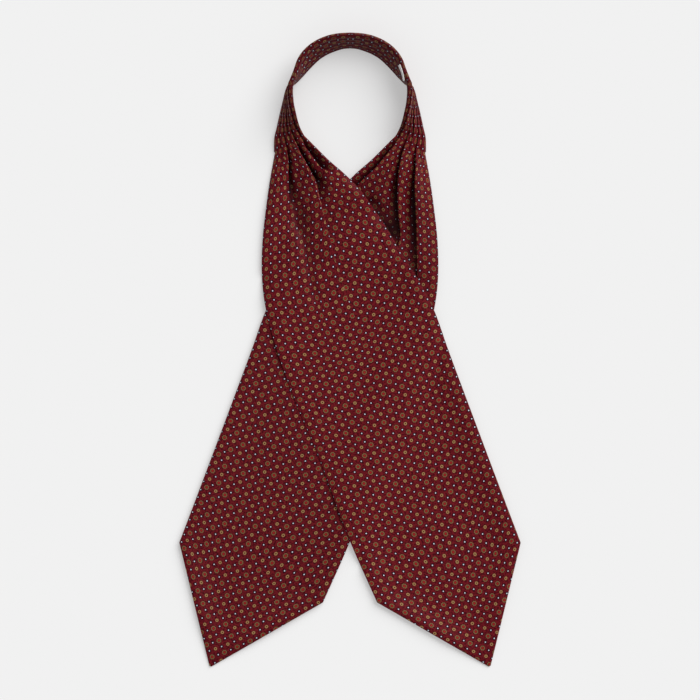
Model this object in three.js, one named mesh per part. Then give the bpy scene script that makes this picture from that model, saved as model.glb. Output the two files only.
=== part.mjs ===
// A self-tie silk day cravat laid flat on a table, in millimetres with +Z up.
// The narrow pleated neck band stands in a loop, and its two ends open through pleats into wide
// pointed blades that cross. The origin is on the table under the middle of the cravat.
import * as THREE from 'three';

// Cloth, seams and the neck band
const CLOTH = 2;
const SEAM_GAP = 0.3;
const BAND_WIDTH = 29;
const BAND_THICKNESS = 4.5;
const PLEAT_STEP = 0.7;
const SILK = 0x5e1822;
const LABEL_WHITE = 0xf1efe9;

// One blade in plan, from where its pleats are released down to its corners and its point.
// The outer edge starts outside the neck and the inner edge starts at the neck opening.
const OUTER_EDGE = [
  { x: -71.8, y: 188.3 }, { x: -76.4, y: 162.4 }, { x: -80, y: 136.6 }, { x: -83.2, y: 107.9 },
  { x: -84.3, y: 81.2 }, { x: -83.4, y: 60.2 }, { x: -80.2, y: 38.2 }, { x: -70.6, y: 1.9 },
  { x: -48.7, y: -58.3 }, { x: -32.3, y: -96.5 }, { x: 0, y: -182.6 }, { x: 25.8, y: -240.9 },
];
const INNER_EDGE = [
  { x: -43.7, y: 204.4 }, { x: -34.5, y: 195.2 }, { x: -20.3, y: 181.1 }, { x: -5.7, y: 168.4 },
  { x: 9.7, y: 152.3 }, { x: 24.4, y: 132.4 }, { x: 37.8, y: 111.9 }, { x: 54.2, y: 83.9 },
  { x: 66.4, y: 65 }, { x: 79.8, y: 38.9 }, { x: 94.8, y: -2.5 }, { x: 140.3, y: -124.1 },
  { x: 162.9, y: -183.8 },
];
const POINT = { x: 133.9, y: -303.2 };
const SIDE_LENGTH = 446;
const POINT_LENGTH = 99;
const BLUNT_POINT = 0.985;

// How a blade lies, by the distance down from the release of the pleats: how far its layers are
// lofted over one thickness of cloth, how far the underside of the inner edge is lifted, the
// share of the width that rests on the table, and the height that clears all folds.
const LIE = [
  { down: 0, loft: 2.6, lift: 12.3, resting: 0, clears: 18 },
  { down: 12, loft: 3.8, lift: 11.2, resting: 0.4, clears: 17 },
  { down: 25, loft: 4.6, lift: 9.2, resting: 0.6, clears: 15 },
  { down: 45, loft: 4.4, lift: 6, resting: 0.7, clears: 11 },
  { down: 61, loft: 3.8, lift: 3.6, resting: 0.75, clears: 8.6 },
  { down: 80, loft: 3.2, lift: 1.6, resting: 0.8, clears: 7.4 },
  { down: 100, loft: 2.6, lift: 0, resting: 0.9, clears: 6.3 },
  { down: 130, loft: 1.6, lift: 0, resting: 0.9, clears: 4.9 },
  { down: 160, loft: 0.8, lift: 0, resting: 0.9, clears: 3.4 },
  { down: 200, loft: 0.2, lift: 0, resting: 0.9, clears: 2.4 },
  { down: 250, loft: 0, lift: 0, resting: 0.9, clears: 2.1 },
];

// Knife folds that run down from the pleats. Each row gives the distance down, the fold's place
// across the blade from the outer edge (0) to the inner edge (1), the height of its crest, the
// depth of the hollow beside it and the width over which the crest drops into the hollow.
const TOP_BLADE_FOLDS = [
  [
    { down: 0, across: 0.37, crest: 0.7, hollow: 0, drop: 0.8 },
    { down: 14, across: 0.36, crest: 2, hollow: 2, drop: 1 },
    { down: 35, across: 0.31, crest: 1.8, hollow: 2.6, drop: 1.4 },
    { down: 60, across: 0.28, crest: 1, hollow: 1.2, drop: 4 },
    { down: 95, across: 0.26, crest: 0, hollow: 0, drop: 8 },
    { down: 160, across: 0.24, crest: 0, hollow: 0, drop: 8 },
  ],
  [
    { down: 0, across: 0.67, crest: 0.7, hollow: 0, drop: 0.8 },
    { down: 14, across: 0.65, crest: 2, hollow: 2.2, drop: 1 },
    { down: 35, across: 0.655, crest: 2.4, hollow: 2.8, drop: 1.2 },
    { down: 55, across: 0.62, crest: 2.4, hollow: 2.8, drop: 1.6 },
    { down: 70, across: 0.585, crest: 1.8, hollow: 1.4, drop: 4 },
    { down: 108, across: 0.59, crest: 1.1, hollow: 0.6, drop: 7 },
    { down: 150, across: 0.55, crest: 0.5, hollow: 0.2, drop: 9 },
    { down: 190, across: 0.53, crest: 0, hollow: 0, drop: 9 },
  ],
  [
    { down: 0, across: 0.865, crest: 0.7, hollow: 0, drop: 0.8 },
    { down: 14, across: 0.863, crest: 1.6, hollow: 2.4, drop: 1 },
    { down: 35, across: 0.872, crest: 1.4, hollow: 2.8, drop: 1.4 },
    { down: 48, across: 0.93, crest: 0.8, hollow: 1.4, drop: 1.6 },
    { down: 64, across: 0.95, crest: 0, hollow: 0, drop: 2 },
    { down: 130, across: 0.88, crest: 0, hollow: 0, drop: 8 },
  ],
];
const LOWER_BLADE_FOLDS = [
  [
    { down: 0, across: 0.29, crest: 0.7, hollow: 0, drop: 0.8 },
    { down: 14, across: 0.275, crest: 2, hollow: 2, drop: 1 },
    { down: 40, across: 0.262, crest: 2.4, hollow: 3, drop: 1.4 },
    { down: 61, across: 0.22, crest: 2.4, hollow: 3.2, drop: 1.6 },
    { down: 91, across: 0.188, crest: 2.2, hollow: 2.8, drop: 1.8 },
    { down: 112, across: 0.173, crest: 1.6, hollow: 2.2, drop: 2.2 },
    { down: 130, across: 0.15, crest: 1, hollow: 1, drop: 3 },
    { down: 160, across: 0.15, crest: 0, hollow: 0, drop: 7 },
  ],
  [
    { down: 0, across: 0.63, crest: 0.7, hollow: 0, drop: 0.8 },
    { down: 14, across: 0.6, crest: 1.8, hollow: 2, drop: 1 },
    { down: 34, across: 0.541, crest: 2.2, hollow: 2.8, drop: 1.4 },
    { down: 52, across: 0.485, crest: 2.2, hollow: 2.6, drop: 2 },
    { down: 70, across: 0.4, crest: 2, hollow: 1.6, drop: 6 },
    { down: 95, across: 0.36, crest: 1.4, hollow: 0.8, drop: 9 },
    { down: 130, across: 0.34, crest: 0.4, hollow: 0, drop: 9 },
    { down: 160, across: 0.4, crest: 0, hollow: 0, drop: 9 },
  ],
  [
    { down: 0, across: 0.865, crest: 0.7, hollow: 0, drop: 0.8 },
    { down: 14, across: 0.863, crest: 1.8, hollow: 2.6, drop: 1 },
    { down: 42, across: 0.836, crest: 1.8, hollow: 3.2, drop: 1.6 },
    { down: 60, across: 0.865, crest: 1.2, hollow: 2, drop: 2.4 },
    { down: 85, across: 0.88, crest: 0, hollow: 0, drop: 6 },
    { down: 130, across: 0.88, crest: 0, hollow: 0, drop: 8 },
  ],
];
const CREST_RUN = 9;
const HOLLOW_RUN = 8;

// The cloth keeps this share of its thickness at its rolled edges, and the power sets how late
// its face turns down towards them
const EDGE_SHARE = 0.7;
const CROWN_POWER = 4;
const NEAR_ENOUGH = 0.05;

// Columns of the blade's grid, as shares of the panel between one fold and the next
const PANEL_COLUMNS = [
  [0, 0.06, 0.2, 0.5, 0.8],
  [0, 0.25, 0.5, 0.8],
  [0, 0.3, 0.6, 0.85],
  [0, 0.4, 0.75, 0.93],
];
const FIRST_ROW = 5;
const ROW_GROWTH = 0.09;
const LONGEST_ROW = 20;
const POINT_ROWS = [0.2, 0.4, 0.6, 0.75, 0.88, BLUNT_POINT];

// Where the top blade comes down from the lower blade to the table
const DRAPE_MARGIN = 8;
const DRAPE_RUN = 16;

// The left half of the neck band, from the release of the pleats to the middle of the back: its
// outer and inner outline in plan, and its tilt. At 0 degrees it lies flat with its outer face up,
// at 90 it stands on its edge, and past 90 it leans outward and shows its inner face.
const BAND_STATIONS = [
  { outerX: -72.6, outerY: 188.7, innerX: -43.7, innerY: 204.4, tilt: 25 },
  { outerX: -73, outerY: 199.6, innerX: -45.8, innerY: 209.6, tilt: 31 },
  { outerX: -70.1, outerY: 213.4, innerX: -48.3, innerY: 217.3, tilt: 49 },
  { outerX: -66.9, outerY: 226.3, innerX: -50.6, innerY: 226.3, tilt: 65 },
  { outerX: -63.7, outerY: 237.8, innerX: -53.1, innerY: 237.3, tilt: 78 },
  { outerX: -61.4, outerY: 246.4, innerX: -54, innerY: 246.9, tilt: 84 },
  { outerX: -60, outerY: 250.2, innerX: -53.8, innerY: 251.2, tilt: 88 },
  { outerX: -57.3, outerY: 257.1, innerX: -49.7, innerY: 255.8, tilt: 96 },
  { outerX: -54, outerY: 266.4, innerX: -44.7, innerY: 260.7, tilt: 103 },
  { outerX: -50.7, outerY: 276.4, innerX: -39.4, innerY: 266.3, tilt: 113 },
  { outerX: -45.4, outerY: 284.6, innerX: -33.3, innerY: 272.4, tilt: 118 },
  { outerX: -37.9, outerY: 291.6, innerX: -27.8, innerY: 277.3, tilt: 120 },
  { outerX: -28, outerY: 297.2, innerX: -20.3, innerY: 281.8, tilt: 119 },
  { outerX: -16.9, outerY: 300.7, innerX: -12.1, innerY: 285.1, tilt: 116 },
  { outerX: -8.5, outerY: 301.8, innerX: -5.8, innerY: 286.9, tilt: 114 },
  { outerX: 0, outerY: 302.2, innerX: 0, innerY: 287.4, tilt: 113 },
];
const PLEAT_EDGES = [0, 0.19, 0.37, 0.52, 0.67, 0.865, 1];
const PLEAT_RETURN = 0.01;
const EDGE_SINK = 0.3;

// The blank label stands on the inner face of the band, high on its right shoulder
const LABEL = {
  length: 16, height: 10, thickness: 0.9, station: 8, foot: 0.62, lean: 96, standOff: 0.8,
};

function smooth(share) {
  const kept = Math.min(1, Math.max(0, share));
  return kept * kept * (3 - 2 * kept);
}

// The value of a table's column at a distance down the blade
function valueAt(rows, down, column) {
  if (down <= rows[0].down) return rows[0][column];
  for (let i = 1; i < rows.length; i += 1) {
    const before = rows[i - 1];
    const after = rows[i];
    if (down < after.down) {
      const share = (down - before.down) / (after.down - before.down);
      return before[column] + (after[column] - before[column]) * share;
    }
  }
  return rows[rows.length - 1][column];
}

function edgeCurve(points) {
  return new THREE.CatmullRomCurve3(points.map((p) => new THREE.Vector3(p.x, p.y, 0)));
}

const outerCurve = edgeCurve(OUTER_EDGE);
const innerCurve = edgeCurve(INNER_EDGE);
const pointEnd = new THREE.Vector3(POINT.x, POINT.y, 0);

// The two ends of one row across the blade
function rowEnds(down) {
  const side = Math.min(1, down / SIDE_LENGTH);
  const past = Math.max(0, (down - SIDE_LENGTH) / POINT_LENGTH);
  return {
    outer: outerCurve.getPointAt(side).lerp(pointEnd, past),
    inner: innerCurve.getPointAt(side).lerp(pointEnd, past),
  };
}

// How far a plan point lies past a row, on the side of the blade's point
function pastRow(x, y, down) {
  const { outer, inner } = rowEnds(down);
  return (inner.y - outer.y) * (x - outer.x) - (inner.x - outer.x) * (y - outer.y);
}

// The distance down and the place across the blade for a plan point, found by halving
function placeOnBlade(x, y) {
  let low = 0;
  let high = SIDE_LENGTH;
  if (pastRow(x, y, low) < 0 || pastRow(x, y, high) > 0) return null;
  while (high - low > NEAR_ENOUGH) {
    const middle = (low + high) / 2;
    if (pastRow(x, y, middle) > 0) low = middle;
    else high = middle;
  }
  const { outer, inner } = rowEnds(low);
  const width = outer.distanceTo(inner);
  const across = ((x - outer.x) * (inner.x - outer.x) + (y - outer.y) * (inner.y - outer.y)) / width ** 2;
  return { down: low, across, width };
}

// The height that the lower blade and its folds take up under a plan point of the top blade
function heightBelow(x, y) {
  const place = placeOnBlade(-x, y);
  if (place === null) return 0;
  const outside = Math.max(0, place.across - 1, -place.across) * place.width;
  const share = 1 - smooth((outside - DRAPE_MARGIN) / DRAPE_RUN);
  return share * (valueAt(LIE, place.down, 'clears') + SEAM_GAP);
}

// The height that one knife fold adds at a distance past its crest, towards the inner edge
function foldHeight(fold, down, past) {
  const crest = valueAt(fold, down, 'crest');
  const hollow = valueAt(fold, down, 'hollow');
  const drop = valueAt(fold, down, 'drop');
  if (past <= 0) return crest * Math.exp(-((past / CREST_RUN) ** 2));
  if (past < drop) return crest - (crest + hollow) * smooth(past / drop);
  return -hollow * Math.exp(-(((past - drop) / HOLLOW_RUN) ** 2));
}

// Places across one row for the grid's columns, which follow the folds. Past the corners the
// columns only draw together towards the point.
function columnPlaces(folds, down) {
  const { outer, inner } = rowEnds(Math.min(down, SIDE_LENGTH));
  const starts = [0];
  const ends = [];
  for (const fold of folds) {
    const crest = valueAt(fold, down, 'across');
    ends.push(crest);
    starts.push(crest + valueAt(fold, down, 'drop') / outer.distanceTo(inner));
  }
  ends.push(1);
  const places = [];
  PANEL_COLUMNS.forEach((columns, panel) => {
    for (const share of columns) places.push(starts[panel] + (ends[panel] - starts[panel]) * share);
    places.push(ends[panel]);
  });
  return places;
}

// One ring round the blade's cloth: over its upper face and back along its underside
function bladeRing(folds, down, liesOnTop) {
  const { outer, inner } = rowEnds(down);
  const width = outer.distanceTo(inner);
  const loft = valueAt(LIE, down, 'loft');
  const lift = valueAt(LIE, down, 'lift');
  const resting = valueAt(LIE, down, 'resting');
  const upper = [];
  const under = [];
  for (const across of columnPlaces(folds, down)) {
    const at = outer.clone().lerp(inner, across);
    const crown = Math.sqrt(Math.max(0, 1 - Math.abs(2 * across - 1) ** CROWN_POWER));
    const below = liesOnTop ? heightBelow(at.x, at.y) : 0;
    const floor = Math.max(below, lift * Math.max(0, (across - resting) / (1 - resting)));
    const raised = lift * across ** (1 + 2 * resting) * (1 - below / (below + CLOTH));
    let top = CLOTH * (EDGE_SHARE + (1 - EDGE_SHARE) * crown) + loft * crown + Math.max(floor, raised);
    for (const fold of folds) {
      const crest = valueAt(fold, down, 'across');
      top += crown * foldHeight(fold, down, (across - crest) * width);
    }
    upper.push(at.clone().setZ(Math.max(top, floor + EDGE_SHARE * CLOTH)));
    under.unshift(at.clone().setZ(floor));
  }
  return [...upper, ...under];
}

function bladeRows() {
  const rows = [];
  for (let down = 0; down < SIDE_LENGTH; down += Math.min(FIRST_ROW + ROW_GROWTH * down, LONGEST_ROW)) {
    rows.push(down);
  }
  if (SIDE_LENGTH - rows[rows.length - 1] < LONGEST_ROW / 2) rows.pop();
  rows.push(SIDE_LENGTH);
  for (const share of POINT_ROWS) rows.push(SIDE_LENGTH + POINT_LENGTH * share);
  return rows;
}

// A closed solid through rings of equal point counts. Each ring runs out along one face and back
// along the other, so that its two ends are closed by strips between the faces.
function solidThrough(rings, mirrored) {
  const count = rings[0].length;
  const half = count / 2;
  const positions = [];
  for (const ring of rings) {
    for (const p of ring) positions.push(mirrored ? -p.x : p.x, p.y, p.z);
  }
  const faces = [];
  for (let r = 0; r + 1 < rings.length; r += 1) {
    for (let c = 0; c < count; c += 1) {
      const a = r * count + c;
      const b = r * count + ((c + 1) % count);
      faces.push([a, a + count, b], [b, a + count, b + count]);
    }
  }
  const last = (rings.length - 1) * count;
  for (let c = 0; c + 1 < half; c += 1) {
    const d = count - 1 - c;
    faces.push([c, c + 1, d], [c + 1, d - 1, d]);
    faces.push([last + c, last + d, last + c + 1], [last + c + 1, last + d, last + d - 1]);
  }
  const geometry = new THREE.BufferGeometry();
  geometry.setAttribute('position', new THREE.Float32BufferAttribute(positions, 3));
  geometry.setIndex(faces.flatMap(([a, b, c]) => (mirrored ? [a, c, b] : [a, b, c])));
  geometry.computeVertexNormals();
  return geometry;
}

// The frame of the band's section at one station: the corner of its outline, the direction
// across the band and the direction out of its outer face
function bandFrame(station) {
  const outer = new THREE.Vector3(station.outerX, station.outerY, 0);
  const inner = new THREE.Vector3(station.innerX, station.innerY, 0);
  const inward = inner.clone().sub(outer);
  const seen = inward.length();
  inward.normalize();
  const tilt = THREE.MathUtils.degToRad(station.tilt);
  const rise = BAND_WIDTH * Math.sin(tilt);
  const leans = Math.sign(Math.cos(tilt)) * Math.max(0, seen - BAND_THICKNESS * Math.sin(tilt));
  const acrossBand = inward.clone().multiplyScalar(leans).setZ(rise);
  const facing = inward.clone().multiplyScalar(-Math.sin(tilt)).setZ(Math.cos(tilt));
  const middle = outer.clone().lerp(inner, 0.5);
  middle.z = (rise + BAND_THICKNESS * Math.abs(Math.cos(tilt))) / 2 - EDGE_SINK;
  return { middle, acrossBand, facing };
}

// A point of the band at a share of its width and a distance out from its middle layer
function bandPoint(frame, share, out) {
  const point = frame.middle.clone();
  point.addScaledVector(frame.acrossBand, share - 0.5);
  point.addScaledVector(frame.facing, out);
  point.z = Math.max(0, point.z);
  return point;
}

// One ring round the band, with each pleat rising to its edge and stepping down to the next
function bandRing(frame) {
  const face = BAND_THICKNESS / 2;
  const outerFace = [];
  const innerFace = [];
  for (let i = 0; i + 1 < PLEAT_EDGES.length; i += 1) {
    const start = PLEAT_EDGES[i] + PLEAT_RETURN;
    const end = PLEAT_EDGES[i + 1];
    outerFace.push(bandPoint(frame, start, face - PLEAT_STEP), bandPoint(frame, end, face));
    innerFace.unshift(bandPoint(frame, end, -face), bandPoint(frame, start, PLEAT_STEP - face));
  }
  return [...outerFace, ...innerFace];
}

function bandHalf(mirrored) {
  const rings = BAND_STATIONS.map((station) => bandRing(bandFrame(station)));
  const release = rowEnds(0);
  const backward = new THREE.Vector3().subVectors(release.inner, release.outer).normalize();
  backward.set(-backward.y, backward.x, 0);
  for (const p of rings[0]) p.addScaledVector(backward, SEAM_GAP);
  for (const p of rings[rings.length - 1]) p.x -= SEAM_GAP / 2;
  return solidThrough(rings.reverse(), mirrored);
}

function blade(folds, liesOnTop, mirrored) {
  const rings = bladeRows().map((down) => bladeRing(folds, down, liesOnTop));
  return solidThrough(rings, mirrored);
}

// A thin upright strip that follows the inner face of the band
function labelStrip() {
  const frame = bandFrame(BAND_STATIONS[LABEL.station]);
  const next = bandFrame(BAND_STATIONS[LABEL.station + 1]);
  const along = next.middle.clone().sub(frame.middle).setZ(0).normalize();
  const inward = frame.facing.clone().negate().setZ(0).normalize();
  const lean = THREE.MathUtils.degToRad(LABEL.lean);
  const upright = inward.clone().multiplyScalar(Math.cos(lean)).setZ(Math.sin(lean));
  const through = inward.clone().multiplyScalar(LABEL.thickness);
  const foot = bandPoint(frame, LABEL.foot, -BAND_THICKNESS / 2);
  foot.addScaledVector(inward, LABEL.standOff);
  const rings = [0.5, -0.5].map((share) => {
    const end = foot.clone().addScaledVector(along, share * LABEL.length);
    const top = end.clone().addScaledVector(upright, LABEL.height);
    return [end, top, top.clone().add(through), end.clone().add(through)];
  });
  return solidThrough(rings, true);
}

function piece(name, geometry, color, roughness) {
  const material = new THREE.MeshStandardMaterial({ color, roughness, metalness: 0 });
  const mesh = new THREE.Mesh(geometry, material);
  mesh.name = name;
  return mesh;
}

const cravat = new THREE.Group();
cravat.add(piece('blade_over', blade(TOP_BLADE_FOLDS, true, false), SILK, 0.5));
cravat.add(piece('blade_under', blade(LOWER_BLADE_FOLDS, false, true), SILK, 0.5));
cravat.add(piece('neck_left', bandHalf(false), SILK, 0.5));
cravat.add(piece('neck_right', bandHalf(true), SILK, 0.5));
cravat.add(piece('label', labelStrip(), LABEL_WHITE, 0.8));

export default cravat;
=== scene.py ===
# %% [markdown]
# # A silk day cravat laid flat
# The cravat is two lengths of printed silk. Each one is pleated to the width of two fingers round
# the back of the neck and opens at the front into a wide blade with a point. Here it lies on a
# table: the neck band stands in a loop and the blades cross.
# The solids from the CAD program give the sizes and the place of everything. This lesson puts a
# finer skin of cloth over each of them, with its pleats, rolled edges and print.
# Lengths are in millimetres, and MM turns them into the metres that Blender counts in.

# %% The frame
from collections import namedtuple

import bpy
import numpy as np
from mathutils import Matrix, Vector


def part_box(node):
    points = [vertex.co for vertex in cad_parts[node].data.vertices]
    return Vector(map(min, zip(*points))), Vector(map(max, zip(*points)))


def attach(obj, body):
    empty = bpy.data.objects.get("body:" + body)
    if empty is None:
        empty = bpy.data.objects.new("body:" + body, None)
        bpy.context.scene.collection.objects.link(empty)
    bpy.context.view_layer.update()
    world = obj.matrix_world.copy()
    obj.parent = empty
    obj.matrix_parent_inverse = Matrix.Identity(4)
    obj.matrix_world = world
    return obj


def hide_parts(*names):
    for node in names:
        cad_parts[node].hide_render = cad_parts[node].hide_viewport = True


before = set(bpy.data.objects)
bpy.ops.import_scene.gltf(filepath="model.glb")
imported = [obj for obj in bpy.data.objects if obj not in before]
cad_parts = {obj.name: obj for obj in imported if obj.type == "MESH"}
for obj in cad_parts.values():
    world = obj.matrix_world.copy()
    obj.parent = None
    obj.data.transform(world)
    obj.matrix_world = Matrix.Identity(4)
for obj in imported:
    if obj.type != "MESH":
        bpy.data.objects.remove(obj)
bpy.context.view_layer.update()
MM = 0.001
print("solids:", sorted(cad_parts))

# %% [markdown]
# ## The two long edges of a blade
# A maker would draw the blade on the table first: where its outer edge and its inner edge run
# from the pleats to the corners, and where its point lies. A smooth curve through a dozen
# measured places is the plainest way to draw a cloth edge. The same curve can be asked for the
# place at any distance along it, which later carries the print at its true spacing.
# Only the blade that lies on top is drawn. The lower one is its mirror image.

# %% Places along the two edges
OUTER_EDGE = [
    (-71.8, 188.3), (-76.4, 162.4), (-80, 136.6), (-83.2, 107.9), (-84.3, 81.2), (-83.4, 60.2),
    (-80.2, 38.2), (-70.6, 1.9), (-48.7, -58.3), (-32.3, -96.5), (0, -182.6), (25.8, -240.9),
]
INNER_EDGE = [
    (-43.7, 204.4), (-34.5, 195.2), (-20.3, 181.1), (-5.7, 168.4), (9.7, 152.3), (24.4, 132.4),
    (37.8, 111.9), (54.2, 83.9), (66.4, 65), (79.8, 38.9), (94.8, -2.5), (140.3, -124.1),
    (162.9, -183.8),
]
POINT = np.array([133.9, -303.2])
print("places on the outer and the inner edge:", len(OUTER_EDGE), len(INNER_EDGE))

# %% A smooth edge through the places
EDGE_STEPS = 40


def curve(start, rise, leave, reach, t):
    """A smooth way up the rise as t goes from 0 to 1, with the slopes at which it leaves and ends"""
    return start + leave * t + (3 * rise - 2 * leave - reach) * t**2 + (leave + reach - 2 * rise) * t**3


def smooth_edge(places):
    """Points closely spaced on a smooth curve through the places, with their share of its length"""
    p = np.array(places, float)
    p = np.vstack([2 * p[0] - p[1], p, 2 * p[-1] - p[-2]])
    gap = np.sqrt(np.linalg.norm(np.diff(p, axis=0), axis=1))
    t = np.linspace(0, 1, EDGE_STEPS, endpoint=False)[:, None]
    drawn = []
    for i in range(1, len(p) - 2):
        before, here, after = gap[i - 1], gap[i], gap[i + 1]
        leave = (p[i] - p[i - 1]) / before - (p[i + 1] - p[i - 1]) / (before + here)
        leave = (leave + (p[i + 1] - p[i]) / here) * here
        reach = (p[i + 1] - p[i]) / here - (p[i + 2] - p[i]) / (here + after)
        reach = (reach + (p[i + 2] - p[i + 1]) / after) * here
        drawn.append(curve(p[i], p[i + 1] - p[i], leave, reach, t))
    drawn = np.vstack([*drawn, p[-2:-1]])
    run = np.concatenate([[0], np.cumsum(np.linalg.norm(np.diff(drawn, axis=0), axis=1))])
    return drawn, run / run[-1]


outer_edge, outer_share = smooth_edge(OUTER_EDGE)
inner_edge, inner_share = smooth_edge(INNER_EDGE)
print("points drawn on the outer and the inner edge:", len(outer_edge), len(inner_edge))

# %% Both ends of a row of cloth
SIDE_LENGTH = 446.0
POINT_LENGTH = 99.0


def edge_ends(down):
    """The outer and the inner end of the row of cloth at each distance down from the pleats"""
    share = np.clip(down / SIDE_LENGTH, 0, 1)
    past = np.clip((down - SIDE_LENGTH) / POINT_LENGTH, 0, 1)[:, None]
    ends = []
    for edge, places in ((outer_edge, outer_share), (inner_edge, inner_share)):
        at = np.stack([np.interp(share, places, edge[:, k]) for k in (0, 1)], axis=1)
        ends.append(at + (POINT - at) * past)
    return ends


ends = edge_ends(np.array([0.0, SIDE_LENGTH]))
print("width of a blade at its pleats and at its corners, mm:",
      np.linalg.norm(ends[1] - ends[0], axis=1).round(1))

# %% [markdown]
# ## The neck band
# The band stands on its edge like a ribbon round a bottle. Its plan is a narrow loop, and its
# tilt turns from nearly flat, where the pleats open, to upright at the side of the neck and
# leaning out at the back. A table of stations with the outline and the tilt in degrees holds all
# of that. Between two rows of a table the values are eased, so the cloth has no kinks there.

# %% Stations of the band
BAND_STATIONS = np.array([
    # outer x, outer y, inner x, inner y, tilt
    (-72.6, 188.7, -43.7, 204.4, 25),
    (-73.0, 199.6, -45.8, 209.6, 31),
    (-70.1, 213.4, -48.3, 217.3, 49),
    (-66.9, 226.3, -50.6, 226.3, 65),
    (-63.7, 237.8, -53.1, 237.3, 78),
    (-61.4, 246.4, -54.0, 246.9, 84),
    (-60.0, 250.2, -53.8, 251.2, 88),
    (-57.3, 257.1, -49.7, 255.8, 96),
    (-54.0, 266.4, -44.7, 260.7, 103),
    (-50.7, 276.4, -39.4, 266.3, 113),
    (-45.4, 284.6, -33.3, 272.4, 118),
    (-37.9, 291.6, -27.8, 277.3, 120),
    (-28.0, 297.2, -20.3, 281.8, 119),
    (-16.9, 300.7, -12.1, 285.1, 116),
    (-8.5, 301.8, -5.8, 286.9, 114),
    (0.0, 302.2, 0.0, 287.4, 113),
])
TILT_COLUMN = 4
band_middle = (BAND_STATIONS[:, 0:2] + BAND_STATIONS[:, 2:4]) / 2
band_run = np.concatenate([[0], np.cumsum(np.linalg.norm(np.diff(band_middle, axis=0), axis=1))])
BAND_LENGTH = band_run[-1]
BAND_END = -round(float(BAND_LENGTH), 1)
print("half of the neck band, mm:", round(float(BAND_LENGTH), 1))


# %% Values between the rows of a table
def eased(at, places, values):
    """A table's values between its rows, with no kinks and no overshoot"""
    places, values = np.asarray(places, float), np.asarray(values, float)
    gap = np.diff(places)
    slope = np.diff(values) / gap
    product = slope[1:] * slope[:-1]
    total = np.where(product > 0, slope[1:] + slope[:-1], 1)
    tangent = np.zeros_like(values)
    tangent[1:-1] = np.where(product > 0, 2 * product / total, 0)
    i = np.clip(np.searchsorted(places, at, side="right") - 1, 0, len(gap) - 1)
    t = np.clip((at - places[i]) / gap[i], 0, 1)
    return curve(values[i], values[i + 1] - values[i], tangent[i] * gap[i], tangent[i + 1] * gap[i], t)


def smooth(share):
    """Eases a share from 0 to 1, and keeps it there outside these limits"""
    kept = np.clip(share, 0, 1)
    return kept * kept * (3 - 2 * kept)


def station(along, column):
    """One column of the band's table, at distances along that are negative on the band"""
    return eased(along, -band_run[::-1], BAND_STATIONS[::-1, column])


half_way = station(np.array([BAND_END / 2]), TILT_COLUMN)[0]
print("tilt half way round the band, degrees:", half_way.round(1))

# %% [markdown]
# ## How the cloth lies
# Near the pleats the silk is bunched, so it lies high and its inner edge is lifted by the band
# that turns up beside it. Further down it settles on the table. The table of the lie has, by the
# distance down from the pleats: the loft, which is how far the bunched middle rises above one
# layer, the lift of the inner edge, and the share of the row, from the outer edge, that rests.
# Soft hollows are drawn as lines on the table, since cloth sags between two places that hold it.

# %% Tables of the lie
LIE = np.array([
    # down, loft, lift, resting
    (0, 2.6, 12.3, 0), (12, 3.8, 11.2, 0.4), (25, 4.6, 9.2, 0.6), (45, 4.4, 6, 0.7),
    (61, 3.8, 3.6, 0.75), (80, 3.2, 1.6, 0.8), (100, 2.6, 0, 0.9), (130, 1.6, 0, 0.9),
    (160, 0.8, 0, 0.9), (200, 0.2, 0, 0.9), (250, 0, 0, 0.9),
])
TOP_HOLLOWS = [
    # start, stop, depth, reach
    ((-55, 154), (-47, 122), 2.6, 8),
    ((-47, 122), (-33, 84), 1.6, 9),
    ((-46, 113), (-34, 52), 1.8, 5),
]
LOWER_HOLLOWS = [
    ((-20, 138), (-38, 113), 6, 9),
]
print("soft hollows on the top and on the lower blade:", len(TOP_HOLLOWS), len(LOWER_HOLLOWS))

# %% [markdown]
# ## The knife folds
# Each half has five knife folds. They are pressed shut on the band, open where the blade begins
# and fade out down the blade. One of them has no form further down and only hides cloth there.
# A fold is a short table with these columns:
# along, the distance down the blade, negative on the band;
# across, the share of the row at which the crest runs;
# crest and hollow, how high the lip stands and how deep the cloth dips beside it;
# drop, how wide the way down from crest to hollow is;
# lip, how far the cloth turns under its own crest;
# run, how far it takes to come up again behind the hollow;
# hides, the fold's part in hiding cloth, as against the other folds of the row.
# On the band the folds have few forms, so those have names.

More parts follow.
